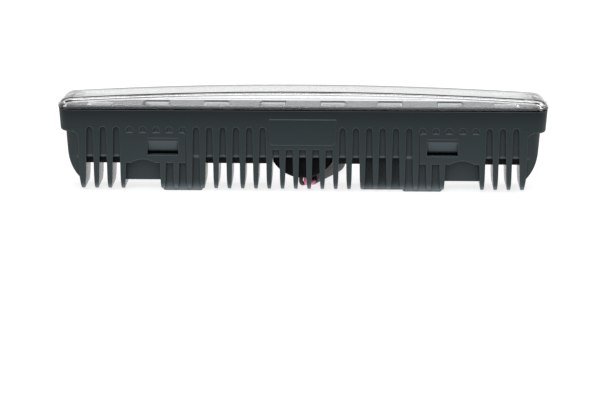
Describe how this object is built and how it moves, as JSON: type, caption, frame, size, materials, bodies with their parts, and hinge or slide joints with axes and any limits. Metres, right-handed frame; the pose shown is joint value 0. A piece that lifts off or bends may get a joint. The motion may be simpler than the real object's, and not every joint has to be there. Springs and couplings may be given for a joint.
{
  "type": "daytime running light",
  "caption": "Slim bar-shaped car running light with a finned black casting, bowed clear lens, fluted reflector wings behind a dark bezel and a short sealed lead.",
  "frame": {"origin": "middle of the lamp's outline, on the plane of the rear pads", "axes": "+X along the lamp, +Y away from the name-plate side, +Z along the light, towards the lens"},
  "size_m": [0.1852, 0.0707, 0.0382],
  "materials": {
    "black_casting": "die casting, black satin powder coat",
    "clear_lens": "clear moulded polycarbonate, polished",
    "black_sealant": "cured black sealant",
    "dark_gloss_bezel": "dark grey gloss moulding",
    "metallised_reflector": "vacuum metallised moulding, bright",
    "emitter": "phosphor coated emitter",
    "white_board": "metal-core board, white solder mask",
    "grey_gap_pad": "soft silicone pad",
    "screw_steel": "zinc plated",
    "chip_black": "moulded package",
    "ferrite": "ferrite, matt",
    "capacitor_tan": "ceramic chip",
    "solder": "tin solder, bright",
    "black_rubber": "moulded rubber, matt",
    "red_insulation": "extruded insulation",
    "black_insulation": "extruded insulation",
    "black_sleeve": "black cable sleeve",
    "connector_plastic": "moulded, fine texture",
    "terminal_brass": "stamped, tinned"
  },
  "bodies": {
    "root": {"heat_sink_housing": "black_casting", "lens_cover": "clear_lens", "lens_seal": "black_sealant", "inner_bezel": "dark_gloss_bezel", "thermal_pad": "grey_gap_pad", "circuit_board": "white_board", "board_screws": "screw_steel", "driver_chip": "chip_black", "inductor": "ferrite", "diode": "chip_black", "sense_resistor": "chip_black", "capacitors": "capacitor_tan", "solder_joints": "solder", "cable_grommet": "black_rubber", "red_wire": "red_insulation", "black_wire": "black_insulation", "cable_sleeve": "black_sleeve", "connector_seal": "black_rubber", "connector_body": "connector_plastic", "connector_terminals": "terminal_brass", "reflector_1": "metallised_reflector", "led_1": "emitter", "reflector_2": "metallised_reflector", "led_2": "emitter", "reflector_3": "metallised_reflector", "led_3": "emitter", "reflector_4": "metallised_reflector", "led_4": "emitter"}
  },
  "joints": []
}
